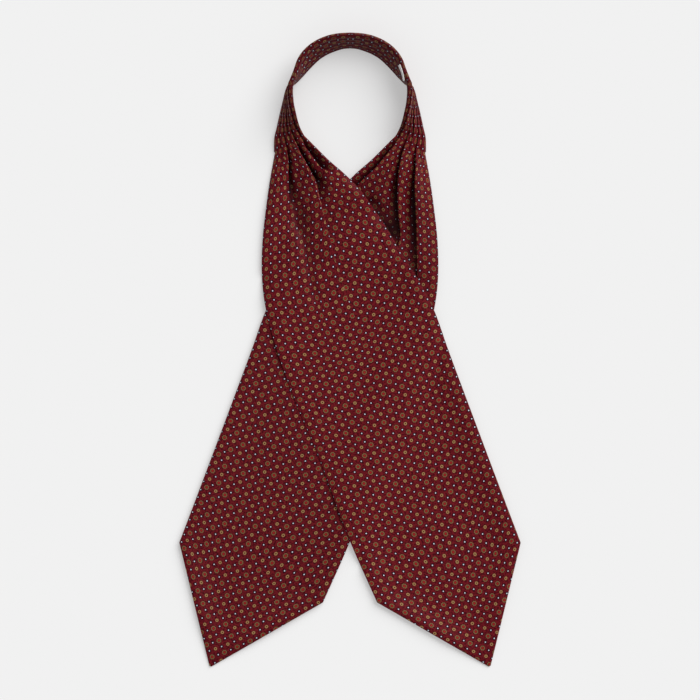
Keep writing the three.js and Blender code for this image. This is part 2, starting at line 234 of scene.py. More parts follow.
# %% Folds of the top blade
FOLD_COLUMNS = ("along", "across", "crest", "hollow", "drop", "lip", "run", "hides")
SEWN = (0.4, 0.9, 0.6, 0.5, 1.6, 1)
PRESSED = (0.5, 1.2, 0.6, 0.6, 1.8, 1)
OPENING = (0.4, 1.2, 0.6, 0.5, 1.6, 1)
OPEN = (0.6, 2.2, 0.8, 0.8, 2.2, 1)
STILL_OPEN = (0.6, 2, 0.8, 0.7, 2, 1)
TOP_BLADE_FOLDS = [
    [
        (BAND_END, 0.19, *SEWN), (-20, 0.19, *PRESSED),
        (0, 0.19, 0.7, 1.2, 0.8, 0.6, 2, 1), (16, 0.17, 0.3, 0.4, 1.4, 0.2, 3, 0.2),
        (30, 0.14, 0, 0, 3, 0, 4, 0), (200, 0.14, 0, 0, 3, 0, 4, 0),
    ],
    [
        (BAND_END, 0.37, *SEWN), (-20, 0.37, *PRESSED),
        (0, 0.37, 0.7, 2, 0.8, 0.8, 2.4, 1), (14, 0.36, 1.8, 5.5, 0.8, 1.2, 2.8, 1),
        (32, 0.308, 1.8, 7, 1, 1.4, 3.6, 0.6), (50, 0.285, 1.2, 4, 2, 0.8, 5, 0.3),
        (70, 0.27, 0.5, 1.2, 3.5, 0, 9, 0), (100, 0.24, 0, 0, 3, 0, 9, 0),
        (200, 0.23, 0, 0, 3, 0, 9, 0),
    ],
    [
        (BAND_END, 0.52, *SEWN), (-62, 0.52, *OPENING), (-50, 0.52, *OPEN), (-26, 0.52, *STILL_OPEN),
        (0, 0.52, 0.6, 1, 0.8, 0.5, 2, 1), (12, 0.5, 0.3, 0.5, 1.4, 0.2, 3, 0.2),
        (24, 0.47, 0, 0, 3, 0, 4, 0), (60, 0.37, 0, 0, 8, 0, 4, 0), (88, 0.33, 0, 0, 8, 0, 4, 0.1),
        (102, 0.35, 0, 0, 8, 0, 4, 0.2), (130, 0.35, 0, 0, 8, 0, 4, 0.5),
        (150, 0.335, 0, 0, 8, 0, 4, 0.8), (170, 0.315, 0, 0, 8, 0, 4, 3),
        (190, 0.3, 0, 0, 8, 0, 4, 9), (230, 0.3, 0, 0, 8, 0, 4, 9),
    ],
    [
        (BAND_END, 0.67, *SEWN), (-20, 0.67, *PRESSED),
        (0, 0.67, 0.7, 2.6, 0.8, 0.8, 2.4, 1), (14, 0.645, 2.2, 6.5, 0.8, 1.4, 3, 1.6),
        (33, 0.648, 2.6, 9, 1, 1.8, 3.4, 2), (50, 0.637, 2.8, 9, 1, 1.8, 7, 2),
        (62, 0.612, 2, 5, 1, 1.2, 9, 2), (80, 0.59, 1.5, 1.6, 1, 0.8, 9, 2),
        (115, 0.565, 1, 0.8, 0.8, 0.5, 9, 2), (150, 0.545, 0.4, 0.3, 0.8, 0.3, 9, 2),
        (190, 0.53, 0, 0, 1, 0, 9, 2), (260, 0.53, 0, 0, 4, 0, 9, 1),
    ],
    [
        (BAND_END, 0.865, *SEWN), (-62, 0.865, *OPENING), (-48, 0.865, *OPEN), (-28, 0.865, *STILL_OPEN),
        (0, 0.865, 0.7, 2.6, 0.8, 0.8, 2.4, 1), (12, 0.8, 2, 10, 0.8, 1.6, 4, 1),
        (26, 0.8, 2, 12, 1, 1.6, 7, 0.8), (36, 0.815, 1.2, 9, 1.6, 0.6, 7, 0.3),
        (48, 0.87, 0, 0.6, 2, 0, 6, 0), (130, 0.88, 0, 0, 6, 0, 8, 0), (200, 0.85, 0, 0, 6, 0, 8, 0),
    ],
]
print("rows in the table of each fold:", [len(fold) for fold in TOP_BLADE_FOLDS])

# %% Folds of the lower blade
LOWER_BLADE_FOLDS = [
    [
        (BAND_END, 0.15, *SEWN), (-20, 0.15, 0.5, 1, 0.6, 0.5, 1.8, 1),
        (0, 0.15, 0.5, 0.9, 0.8, 0.5, 2, 1), (14, 0.13, 0.3, 0.4, 1.4, 0.2, 3, 0.2),
        (26, 0.1, 0, 0, 2, 0, 4, 0), (60, 0.08, 0, 0, 2, 0, 4, 0), (200, 0.06, 0, 0, 3, 0, 4, 0),
    ],
    [
        (BAND_END, 0.32, *SEWN), (-20, 0.3, *PRESSED),
        (0, 0.29, 0.7, 1.8, 0.8, 0.8, 2.4, 1), (14, 0.265, 2.4, 5, 0.9, 1.4, 4, 1),
        (40, 0.235, 4.4, 7, 1, 2, 8, 1), (61, 0.205, 5, 8, 1, 2, 11, 1),
        (91, 0.18, 4.6, 7, 1.2, 1.8, 12, 1), (112, 0.165, 3.4, 5, 1.4, 1.2, 12, 1),
        (130, 0.15, 1, 1, 1.6, 0.5, 10, 1), (160, 0.15, 0, 0, 4, 0, 9, 0.5),
        (200, 0.15, 0, 0, 6, 0, 9, 0),
    ],
    [
        (BAND_END, 0.48, *SEWN), (-58, 0.48, *OPENING), (-44, 0.5, *OPEN), (-18, 0.5, *STILL_OPEN),
        (0, 0.48, 0.5, 0.9, 0.8, 0.5, 2, 1), (12, 0.45, 0.3, 0.4, 1.4, 0.2, 3, 0.2),
        (24, 0.41, 0, 0, 2, 0, 4, 0), (52, 0.36, 0, 0, 2, 0, 4, 0), (95, 0.28, 0, 0, 2, 0, 4, 0),
        (200, 0.26, 0, 0, 3, 0, 4, 0),
    ],
    [
        (BAND_END, 0.67, *SEWN), (-20, 0.66, *PRESSED),
        (0, 0.63, 0.7, 2, 0.8, 0.8, 2.4, 1), (14, 0.585, 2.4, 5.5, 0.9, 1.4, 3.4, 1),
        (34, 0.51, 4.4, 6.5, 1, 2, 5, 1), (54, 0.445, 4.6, 8, 1.4, 1.4, 7, 1),
        (75, 0.385, 3.8, 6, 2, 0.8, 9, 1), (97, 0.335, 2.4, 3, 4, 0, 9, 0.6),
        (130, 0.34, 0.4, 0, 6, 0, 9, 0.3), (160, 0.38, 0, 0, 6, 0, 9, 0.5),
        (200, 0.38, 0, 0, 6, 0, 9, 1),
    ],
    [
        (BAND_END, 0.865, *SEWN), (-62, 0.88, *OPENING), (-46, 0.9, *OPEN), (-24, 0.9, *STILL_OPEN),
        (0, 0.865, 0.7, 2.4, 0.8, 0.8, 2.4, 1), (14, 0.835, 2.4, 9, 0.9, 1.6, 4, 1),
        (33, 0.835, 3.2, 12, 1, 2, 5, 1), (50, 0.85, 3.2, 12, 1, 2, 5, 0.8),
        (64, 0.88, 2, 8, 1.6, 0.8, 5, 0.5), (85, 0.88, 0, 0, 6, 0, 8, 0),
        (130, 0.88, 0, 0, 8, 0, 8, 0), (200, 0.85, 0, 0, 8, 0, 8, 0),
    ],
]
print("rows in the table of each fold:", [len(fold) for fold in LOWER_BLADE_FOLDS])

# %% [markdown]
# ## How the print rides on the cloth
# The print was made on flat silk, so it follows the threads. Where the cloth is gathered the
# threads come closer together and part of the print is hidden in the folds, and where a row of
# threads sags, the rows of motifs sag with it. These tables were read off the photo. They say
# how many times closer the print is drawn together across, how far it runs ahead of the straight
# row at five places across the blade, and how far it has drifted across as a whole.

# %% Tables of the print
CUT_WIDTH = 150.0
PRINT_CLOSENESS = np.array([
    # along, closeness
    (BAND_END, 1.05), (-80, 1.1), (-45, 1.7), (0, 2.0), (15, 1.85), (30, 1.45), (45, 1.25),
    (70, 1.1), (90, 1.04), (120, 1.01), (170, 0.97), (250, 0.97),
])
PRINT_PLACES = (0, 0.25, 0.5, 0.75, 1)
TOP_PRINT_AHEAD = np.array([
    # along, at the outer edge, at a quarter, in the middle, at three quarters, at the inner edge
    (0, 21, 20, 19, 19, 20), (30, 18.5, 16.5, 14, 15, 17), (50, 15, 13, 10.5, 11, 14),
    (70, 13, 10, 9.4, 11, 13.5), (90, 12.2, 8.2, 6.7, 9, 12), (110, 11.2, 6.2, 4.2, 6.5, 9.7),
    (130, 10.6, 4.5, 1.8, 4.2, 8), (150, 10.2, 3.1, -0.5, 3, 7), (170, 9.8, 1.7, -2, 2.1, 6),
    (190, 10, 1.4, -3.1, 1.6, 7), (210, 9.5, 1.9, -1.4, 2.5, 5.4), (230, 9, 4.8, 2.1, 2.7, 5),
    (250, 10, 5.4, 2.1, 2.2, 4.8), (290, 9.9, 5.4, 1.8, 1.5, 3.3), (390, 9.2, 5.6, 1.8, 1.5, 3.6),
    (410, 9.3, 4.9, 0.3, 0.1, 3.4), (430, 9, 3, -1.9, -1.8, 4), (SIDE_LENGTH, 8.5, 1.5, -4, -3.5, 4.5),
])
LOWER_PRINT_AHEAD = np.array([
    (0, 11, 10, 9, 9, 10), (30, 10.5, 7, 6, 7, 9), (110, 10.5, 5.5, 4, 3, 5),
    (170, 11, 5.5, 3, 1, 0), (250, 12, 6, 1.5, -1, -3.5), (310, 12, 6.5, 0.6, -1.9, -2.8),
    (350, 12, 6, 0, -2.2, -2.6), (390, 11.7, 4.6, -0.9, -2.5, -2.2), (410, 10.5, 3.3, -2, -2.6, 0),
    (430, 7.5, 0.8, -4.1, -3.2, 2), (SIDE_LENGTH, 5, -1, -6, -4, 4),
])
TOP_DRIFT = [
    # along, drift
    (BAND_END, 2.3), (-10, 2.3), (30, 0), (250, 0.2), (320, 1), (370, 1.5), (400, 2.2),
    (SIDE_LENGTH, 2.2),
]
LOWER_DRIFT = [
    (BAND_END, 2.3), (-10, 2.3), (30, 0), (250, -0.3), (330, -0.9), (380, -0.3), (SIDE_LENGTH, 0.6),
]
print("closest and widest the print is drawn:", PRINT_CLOSENESS[:, 1].max(), PRINT_CLOSENESS[:, 1].min())

# %% [markdown]
# ## Rows of a whole half
# The rows run from the seam at the middle of the back, down the standing band, through the place
# where the pleats open, and on to the point. They lie close together where the cloth has most
# form, and the last one stops short of the point, which in silk is never quite sharp. Each row
# has a base line that leans with the band or lies on the table, and the two kinds are blended
# over the last stretch of the band, so that the band lies down without a step.

# %% Distances of the rows
SEAM_GAP = 0.3
SEAM_ROWS = np.array([0, 0.25, 0.7, 1.3])
BAND_STRETCH = (BAND_END + 3, -1.5, 62)
GATHERED_STRETCH = (0, 140, 76)
FLAT_STRETCH = (143, SIDE_LENGTH, 84)
POINT_SHARES = [*np.linspace(0.03, 0.93, 26), 0.95, 0.965, 0.977, 0.985]
band_rows = np.concatenate([BAND_END + SEAM_GAP / 2 + SEAM_ROWS, np.linspace(*BAND_STRETCH)])
blade_rows = np.concatenate([
    np.linspace(*GATHERED_STRETCH), np.linspace(*FLAT_STRETCH),
    SIDE_LENGTH + POINT_LENGTH * np.array(POINT_SHARES),
])
along = np.concatenate([band_rows, blade_rows])
on_band = slice(len(band_rows))
print("rows on the band and on the blade:", len(band_rows), len(blade_rows))

# %% Frames of the band's rows
BAND_WIDTH = 29.0
BAND_THICKNESS = 4.5
EDGE_SINK = 0.3


def band_frames(along):
    """Base point, direction across and facing of the band's rows, and their two ends as seen"""
    outer_x, outer_y, inner_x, inner_y, tilt = (station(along, k) for k in range(TILT_COLUMN + 1))
    outer, inner = np.stack([outer_x, outer_y], 1), np.stack([inner_x, inner_y], 1)
    tilt = np.radians(tilt)[:, None]
    seen = np.linalg.norm(inner - outer, axis=1)[:, None]
    towards_inner = (inner - outer) / seen
    rise = BAND_WIDTH * np.sin(tilt)
    leans = np.sign(np.cos(tilt)) * np.maximum(0, seen - BAND_THICKNESS * np.sin(tilt))
    across = np.hstack([towards_inner * leans, rise])
    facing = np.hstack([-towards_inner * np.sin(tilt), np.cos(tilt)])
    height = (rise + BAND_THICKNESS * np.abs(np.cos(tilt))) / 2 - EDGE_SINK
    middle = np.hstack([(outer + inner) / 2, height])
    return middle - across / 2, across / BAND_WIDTH, facing, outer, inner


base_point, across_band, facing, *band_ends = band_frames(along[on_band])
print("highest point of the band's lower edge, mm:", round(float(base_point[:, 2].max()), 1))

# %% Ends and widths of the rows
SETTLES = 14.0
outer, inner = edge_ends(np.maximum(0, along))
outer[on_band], inner[on_band] = band_ends
width = np.linalg.norm(inner - outer, axis=1)
inward = (inner - outer) / width[:, None]
settled = smooth((along + SETTLES) / SETTLES)
section = width.copy()
section[on_band] = BAND_WIDTH + (width[on_band] - BAND_WIDTH) * settled[on_band]
stretch = (width / section)[:, None]
side_ends = edge_ends(np.clip(along, 0, SIDE_LENGTH))
full = np.where(along > SIDE_LENGTH, np.linalg.norm(side_ends[1] - side_ends[0], axis=1), section)


def on_table(across):
    """The place on the table at each distance across the rows"""
    return outer[:, None] + inward[:, None] * across[..., None]


print("narrowest and widest row of the blade, mm:", width.min().round(1), width.max().round(1))

# %% [markdown]
# ## The cloth before it is folded
# A single layer lies on the table or on what is below it. The loft swells it between the edges,
# the lift carries its inner edge up to the band, and both long edges spring up a few millimetres,
# as hemmed silk does. That small spring matters: it gives the blade its soft shadow.

# %% Heights before the folds
CLOTH = 1.4
CROWN_POWER = 4
EDGE_SPRING = 3.8
SPRING_REACH = 20.0
SPRUNG_FROM, SPRUNG_FULLY = 5, 60
SPRUNG_WIDTH = 60
down = np.maximum(0, along)
loft, lift, resting = (eased(down, LIE[:, 0], LIE[:, k])[:, None] for k in (1, 2, 3))
band_lift = BAND_WIDTH * np.sin(np.radians(station(np.minimum(along, 0), TILT_COLUMN)))
lift = np.where(along[:, None] < 0, band_lift[:, None], lift)
sprung = smooth((down - SPRUNG_FROM) / (SPRUNG_FULLY - SPRUNG_FROM)) * np.minimum(1, width / SPRUNG_WIDTH)


def floor_and_top(share, cover):
    """Heights of the underside and of the unfolded top, and the crown: 1 in the middle, 0 at an edge"""
    below = 0 * share if cover is None else cover(on_table(share * width[:, None]))
    crown = np.sqrt(np.clip(1 - np.abs(2 * share - 1) ** CROWN_POWER, 0, 1))
    near_edge = np.exp(-((np.minimum(share, 1 - share) * width[:, None] / SPRING_REACH) ** 2))
    spring = EDGE_SPRING * near_edge * sprung[:, None] * (1 - smooth(below / CLOTH))
    under = np.maximum(below, lift * np.clip((share - resting) / (1 - resting), 0, 1)) + spring
    raised = lift * share ** (1 + 2 * resting) * (1 - below / (below + CLOTH)) + spring
    return under, CLOTH + loft * crown + np.maximum(under, raised), crown


middle_top = floor_and_top(np.full((len(along), 1), 0.5), None)[1]
print("highest the middle of the blade lies before folding, mm:", middle_top[down > 0].max().round(1))

# %% [markdown]
# ## Knife folds across a row
# Every row across the silk is drawn the same way, as a tailor would see it end-on: panels that
# lie nearly flat, and between them knife folds, where the cloth turns under its own lip and
# comes back out. An S laid on its side gives that turn. The lip overhangs the hollow, which is
# why a real pleat has a dark line beside it. A height map alone could not overhang.

# %% Columns of a row
PANEL_COLUMNS = (20, 13, 18, 12, 20, 18)
FOLD_STEPS = 11
TOP_COLUMNS = sum(PANEL_COLUMNS) + FOLD_STEPS * (len(PANEL_COLUMNS) - 1)
Columns = namedtuple("Columns", "across turn owner crests drops")


def fold_values(table):
    """Every column of a fold's table, eased to the rows of the cloth"""
    table = np.array(table)
    return {name: eased(along, table[:, 0], table[:, k]) for k, name in enumerate(FOLD_COLUMNS)}


def row_columns(folds):
    """Each column's distance across the rows, and inside a fold its turn from 0 to 1"""
    crests = [fold["across"] * section for fold in folds]
    drops = [fold["drop"] * section / full for fold in folds]
    starts = [np.zeros_like(section)] + [c + d for c, d in zip(crests, drops)]
    stops = crests + [section]
    across, turn, owner = [], [], []
    for panel, count in enumerate(PANEL_COLUMNS):
        share = np.linspace(0, 1, count)
        if panel == 0:
            share = 1 - np.cos(share * np.pi / 2)
        if panel == len(PANEL_COLUMNS) - 1:
            share = np.sin(share * np.pi / 2)
        across += [starts[panel] + (stops[panel] - starts[panel]) * s for s in share]
        turn += [-1.0] * count
        if panel < len(folds):
            steps = np.linspace(0, 1, FOLD_STEPS + 2)[1:-1]
            across += [crests[panel] + drops[panel] * t for t in steps]
            turn += [*steps]
        owner += [panel] * (len(turn) - len(owner))
    return Columns(np.array(across).T, np.array(turn), np.array(owner), crests, drops)


print("columns over the top of a row:", TOP_COLUMNS)

# %% Laying the folds
CREST_RUN = 12.0
SHADED_DEPTH = 7.0
FULL_LIP_WIDTH = 60
FULL_RUN_WIDTH = 45


def lay_folds(folds, columns, base, crown):
    """Places across, heights and painted shade of the columns in their folds, which are small in narrow
    rows
    """
    x, z, depth = columns.across.copy(), base.copy(), 0 * base
    lip_share = np.minimum(1, section / FULL_LIP_WIDTH)
    run_share = np.minimum(1, section / FULL_RUN_WIDTH)
    for k, fold in enumerate(folds):
        crest, hollow = fold["crest"][:, None] * crown, fold["hollow"][:, None] * crown
        run = (fold["run"] * run_share)[:, None]
        past = columns.across - columns.crests[k][:, None]
        drop = columns.drops[k][:, None]
        before = crest * np.exp(-((past / CREST_RUN) ** 2))
        after = -hollow * np.exp(-(((past - drop) / run) ** 2))
        inside = crest - (crest + hollow) * smooth(past / drop)
        z += np.where(past <= 0, before, np.where(past < drop, inside, after))
        # Painted shade grows with the depth of the hollow beside each crest
        shaded = np.where(past < drop, smooth(past / drop * 2) * hollow, -after)
        depth += np.where(past <= 0, 0, shaded) / SHADED_DEPTH
        mine = (columns.turn >= 0) & (columns.owner == k)
        x[:, mine] += (fold["lip"] * lip_share)[:, None] * np.sin(2 * np.pi * columns.turn[mine])
    return x, z, np.clip(depth, 0, 1)


def hollows(at, hollow_lines):
    """How far the cloth sinks at each place because of the soft hollows drawn on the table"""
    sunk = 0 * at[..., 0]
    for start, stop, depth, reach in hollow_lines:
        start, run = np.array(start, float), np.array(stop, float) - np.array(start)
        share = np.clip((at - start) @ run / (run @ run), 0, 1)
        away = np.linalg.norm(at - start - share[..., None] * run, axis=-1)
        sunk = sunk + depth * np.exp(-((away / reach) ** 2))
    return sunk


hollow_start = np.array(LOWER_HOLLOWS[0][0], float)
print("depth at the start of the lower blade's hollow, mm:", hollows(hollow_start, LOWER_HOLLOWS).round(1))

# %% [markdown]
# ## Both faces of the cloth
# The row is closed along the underside, so the cloth has a thickness. Close to an edge the two
# faces meet half way in a roll, and the layer is pressed thinner there, as a turned hem is.
# A number from 0 to 1 is kept for every point as well: its painted shade, from how deep it lies in a
# fold, how near it is to a rim and whether it is on the standing band. The silk is darkened by it
# later, as painted shade, because a real fold swallows light between its layers.

# %% Rolled edges
EDGE_ROLL = 2.2
THINNED_BY, THINNED_REACH = 0.55, 4.0
# Painted shade at the rims of the standing band
BAND_RIM, BAND_RIM_DIMNESS = 2.0, 0.6
upright = 1 - settled[on_band, None]


def edge_roll(from_edge):
    """0 at the edge of the cloth and 1 where its roll ends, along a quarter of a circle"""
    return np.sqrt(np.clip(1 - (1 - np.clip(from_edge / EDGE_ROLL, 0, 1)) ** 2, 0, 1))


def thinned(from_edge):
    """The share of its thickness that the cloth keeps near an edge"""
    return 1 - THINNED_BY * np.exp(-((from_edge / THINNED_REACH) ** 2)) * sprung[:, None]


def near_band_rim(from_edge):
    """1 at the rim of the band, fading within a few millimetres"""
    return np.exp(-((from_edge[on_band] / BAND_RIM) ** 2))


print("thickness left at a sprung edge, mm:", round(CLOTH * (1 - THINNED_BY), 2))

# %% Upper face
THINNEST = 0.8
# Painted shade along every edge of the cloth, within RIM of it, where the edge rolls under
RIM, RIM_PAINTED_SHADE = 1.2, 0.3
# Painted shade in the pleats of the standing band
BAND_SHADING = 2.6


def upper_face(folds, columns, hollow_lines, cover):
    """Distance across, height on the table, height on the band and painted shade of the top"""
    share = columns.across / section[:, None]
    under, top, crown = floor_and_top(share, cover)
    x, z, depth = lay_folds(folds, columns, top, crown)
    sunk = hollows(on_table(x * stretch), hollow_lines)
    z -= sunk
    depth = np.clip(depth + sunk / SHADED_DEPTH, 0, 1)
    z = np.maximum(z, under + THINNEST)

    flat = 0 * share
    _, band_z, pleats = lay_folds(folds, columns, flat + BAND_THICKNESS / 2, flat + 1)
    # Painted shade in the pleats of the standing band
    depth[on_band] = np.clip(pleats[on_band] * BAND_SHADING, 0, 1)

    from_edge = np.minimum(x, section[:, None] - x)
    roll = edge_roll(from_edge)
    z = under + (z - under) * (0.5 + 0.5 * roll) * thinned(from_edge)
    # Painted shade along every edge of the cloth
    depth = np.maximum(depth, RIM_PAINTED_SHADE * np.clip(1 - from_edge / RIM, 0, 1))
    # Painted shade, stronger, at the rims of the standing band
    depth[on_band] = np.maximum(depth[on_band], BAND_RIM_DIMNESS * near_band_rim(from_edge) * upright)
    return x, z, band_z * roll, depth


top_folds = [fold_values(table) for table in TOP_BLADE_FOLDS]
tried = upper_face(top_folds, row_columns(top_folds), TOP_HOLLOWS, None)
print("highest place of the top blade laid on a bare table, mm:", tried[1][along > 0].max().round(1))

# %% Underside
UNDER_COLUMNS = 56
UNDER_CREASE, UNDER_CREASES = 0.25, 6
# Painted shade over the underside of the standing band, which faces away from the light
BAND_DIMNESS = 0.36
half_turn = np.linspace(0, np.pi, UNDER_COLUMNS + 2)[1:-1]
back_share = np.tile(1 - np.sin(half_turn - np.pi / 2) / 2 - 0.5, (len(along), 1))
back_x = back_share * section[:, None]


def underside(cover):
    """Height on the table, height on the band and painted shade, from the inner to the outer edge"""
    under = floor_and_top(back_share, cover)[0]
    from_edge = np.minimum(back_x, section[:, None] - back_x)
    roll = edge_roll(from_edge)
    z = under + CLOTH * (0.5 - 0.5 * roll) * thinned(from_edge)
    crease = UNDER_CREASE * np.sin(back_share * UNDER_CREASES * 2 * np.pi)
    depth = 0 * back_share
    # Painted shade on the band's underside, darker towards its rims
    rim_dimness = (BAND_RIM_DIMNESS - BAND_DIMNESS) * near_band_rim(from_edge)
    depth[on_band] = (BAND_DIMNESS + rim_dimness) * upright
    return z, -(BAND_THICKNESS / 2 + crease) * roll, depth


print("columns along the underside of a row:", UNDER_COLUMNS)


# %% Points in space
def placed(x, height, band_height):
    """Points on the table for blade rows, on the leaning frame for band rows, eased between"""
    points = np.empty((*x.shape, 3))
    points[..., :2] = on_table(x * stretch)
    points[..., 2] = height
    on_the_band = BAND_WIDTH / section[on_band]
    rise = across_band[:, None] * x[on_band, :, None] * on_the_band[:, None, None]
    stand = base_point[:, None] + rise + facing[:, None] * band_height[on_band, :, None]
    share = settled[on_band, None, None]
    points[on_band] = stand * (1 - share) + points[on_band] * share
    points[..., 2] = np.maximum(points[..., 2], 0)
    return points


print("height of the band's middle layer, mm:", placed(back_x, back_x, 0 * back_x)[0, :, 2].max().round(1))

# %% [markdown]
# ## The print's map
# Blender keeps, for each corner of each face, its place on the flat print. Across, that place is
# the distance over the cloth, drawn together where it is gathered, with the rest of the width
# hidden in the folds. Past the corners of the blade the print goes straight on, although the
# cloth is cut to a point there.

# %% The print across a row
A_TRACE = 1e-6
DEEP_FOLD = 5.0
WIDE_DROP, WIDENS = 4, 3
CREASE_FROM, CREASE_SPAN = 0.42, 0.16
close = eased(along, PRINT_CLOSENESS[:, 0], PRINT_CLOSENESS[:, 1])
close = np.where(along > PRINT_CLOSENESS[-1, 0], CUT_WIDTH / full, close)
close = np.minimum(close, CUT_WIDTH / full)


def across_the_print(x):
    """The print's own distance across, with the cloth that rolls round each edge counted in"""
    def rolled(from_edge):
        near = np.clip(from_edge / EDGE_ROLL, 0, 1)
        return EDGE_ROLL * (np.arccos(1 - near) - np.pi / 2 + 1 - near)

    return (x + 2 * rolled(x) - 2 * rolled(section[:, None] - x)) * close[:, None]


def print_over_folds(folds, columns):
    """The print's distance across the top. A shallow, narrow fold hides its share in one crease"""
    # The trace keeps the sum above nothing where no fold hides any cloth
    hides = np.array([fold["hides"] + A_TRACE for fold in folds])
    hidden = (CUT_WIDTH - close * full) * hides / hides.sum(0)
    creased = smooth((columns.turn - CREASE_FROM) / CREASE_SPAN)
    u = across_the_print(columns.across)
    for k, fold in enumerate(folds):
        deep = smooth((fold["crest"] + fold["hollow"]) / DEEP_FOLD)
        deep = np.maximum(deep, smooth((fold["drop"] - WIDE_DROP) / WIDENS))[:, None]
        inside = (columns.turn >= 0) & (columns.owner == k)
        passed = np.where(inside, creased + (columns.turn - creased) * deep, columns.owner > k)
        u += hidden[k][:, None] * passed
    return u


print("print hidden in the folds where the pleats open, mm:",
      (CUT_WIDTH - close * full)[on_band][-1].round(1))

# %% The print along the cloth
corners = edge_ends(np.array([SIDE_LENGTH]))
onward = (corners[1] - corners[0])[0]
corner_width = np.linalg.norm(onward)
straight = onward / corner_width
to_the_point = np.array([straight[1], -straight[0]])


def print_place(print_ahead, print_drift, share, u, across):
    """Where each place of the cloth lies on the flat print, across and along"""
    at = np.clip(along, BAND_END, SIDE_LENGTH)
    down_the_blade, *ahead_at_places = print_ahead.T
    table = np.stack([eased(at, down_the_blade, ahead) for ahead in ahead_at_places], 1)
    plan = on_table(across) - corners[0]
    past = (along > SIDE_LENGTH)[:, None]
    share = np.where(past, plan @ straight / corner_width, share)
    on_top = share * CUT_WIDTH
    u = np.where(past, on_top + (u > CUT_WIDTH) * 2 * (CUT_WIDTH - on_top), u)
    v = np.where(past, SIDE_LENGTH + plan @ to_the_point, along[:, None] + 0 * share)
    offset = np.array([eased(row, PRINT_PLACES, places) for row, places in zip(share, table)])
    return u + eased(at, *np.array(print_drift).T)[:, None], v + offset


print("width of the blade between its corners, mm:", corner_width.round(1))

# %% [markdown]
# ## One half from its tables
# Both halves are cut and pleated alike and differ only in how they lie. So one function makes
# either of them from its tables, and the second half is laid over a cover of the first. The row
# is closed by a last column that steps on a little, since the print needs an end of its own there.

# %% Rings of one half
CLOSING_STEP = 1.0


def cloth_rows(fold_tables, print_ahead, print_drift, hollow_lines, cover=None):
    """Rings of points from the seam at the back to the point, their print map and painted shade"""
    folds = [fold_values(table) for table in fold_tables]
    columns = row_columns(folds)
    x, z, band_z, depth = upper_face(folds, columns, hollow_lines, cover)
    back_z, back_band, back_depth = underside(cover)
    rings = np.concatenate([placed(x, z, band_z), placed(back_x, back_z, back_band)], axis=1)

    flat_x = columns.across
    u = print_over_folds(folds, columns)
    u, v = print_place(print_ahead, print_drift, flat_x / section[:, None], u, flat_x * stretch)
    back_u = CUT_WIDTH * 2 - across_the_print(back_x)
    back_u, back_v = print_place(print_ahead, print_drift, back_share, back_u, back_x * stretch)
    print_u = np.concatenate([u, back_u, back_u[:, -1:] + CLOSING_STEP], axis=1)
    print_v = np.concatenate([v, back_v, back_v[:, -1:]], axis=1)
    return rings, print_u, print_v, np.concatenate([depth, back_depth], axis=1)


rings, *maps = cloth_rows(LOWER_BLADE_FOLDS, LOWER_PRINT_AHEAD, LOWER_DRIFT, LOWER_HOLLOWS)
print("rows and points in a row:", rings.shape[:2])

# %% [markdown]
# ## From rows to cloth
# Neighbouring rows are joined by four-sided faces and both ends are closed, so the cloth is one
# watertight skin. The map of the print is stored with one unit for one repeat of the pattern,
# and the painted shade of folds, rims and band as a number on each point that the material can read.

# %% A skin over the rings
REPEAT_ACROSS = 18.6
REPEAT_ALONG = 16.92
PRINT_MAP = "cloth"
PAINTED_SHADE = "painted_shade"


def put_in_scene(name, data):
    """A new object with the given mesh, lamp or camera"""
    made = bpy.data.objects.new(name, data)
    bpy.context.scene.collection.objects.link(made)
    return made


def round_faces(grid, count, beside):
    """The grid's values at the corners of every face, where beside is the column next to each one"""
    r, c = np.meshgrid(np.arange(len(grid) - 1), np.arange(count), indexing="ij")
    after = beside[c]
    return np.stack([grid[r, c], grid[r + 1, c], grid[r + 1, after], grid[r, after]], -1).reshape(-1, 4)


def skin(name, rings, print_u, print_v, depth, mirrored):
    """One closed cloth over the rings, with its print map and its painted shade"""
    rows, count = rings.shape[:2]
    points = rings.reshape(-1, 3) * MM
    if mirrored:
        points = points * np.array([-1, 1, 1])
    points = np.vstack([points, points[:count].mean(0), points[-count:].mean(0)])
    ring, beside = np.arange(count), np.arange(1, count + 1)
    numbers = np.arange(rows * count).reshape(rows, count)
    last = numbers[-1, 0]
    face_sets = [
        round_faces(numbers, count, beside % count),
        np.stack([ring, beside % count, np.full(count, rows * count)], -1),
        np.stack([last + beside % count, last + ring, np.full(count, rows * count + 1)], -1),
    ]
    map_sets = [round_faces(grid, count, beside) for grid in (print_u, print_v)]
    if mirrored:
        face_sets = [faces[:, ::-1] for faces in face_sets]
        map_sets = [places[:, ::-1] for places in map_sets]
    mesh = bpy.data.meshes.new(name)
    mesh.from_pydata(points.tolist(), [], [face for faces in face_sets for face in faces.tolist()])
    place = []
    for grid, places, repeat in zip((print_u, print_v), map_sets, (REPEAT_ACROSS, REPEAT_ALONG)):
        caps = np.repeat([grid[0].mean(), grid[-1].mean()], count * 3)
        place.append(np.concatenate([places.ravel(), caps]) / repeat)
    mesh.uv_layers.new(name=PRINT_MAP).data.foreach_set("uv", np.stack(place, -1).ravel())
    shade = mesh.attributes.new(PAINTED_SHADE, "FLOAT", "POINT")
    shade.data.foreach_set("value", np.concatenate([depth.ravel(), [0, 0]]))
    mesh.shade_smooth()
    mesh.validate()
    return put_in_scene(name, mesh)


lower_half = skin("lower_half", rings, *maps, mirrored=True)
print("faces of the lower half:", len(lower_half.data.polygons))

# %% [markdown]
# ## Laying one blade over the other
# Where the top blade crosses the lower one it has to lie on its folds, not through them. A real
# cloth spans small hollows and comes down gently past an edge. A height map of the lower blade
# gives exactly that: take the highest place within reach of every cell, then average over a
# smaller reach. The result is smooth and never lower than the cloth below.

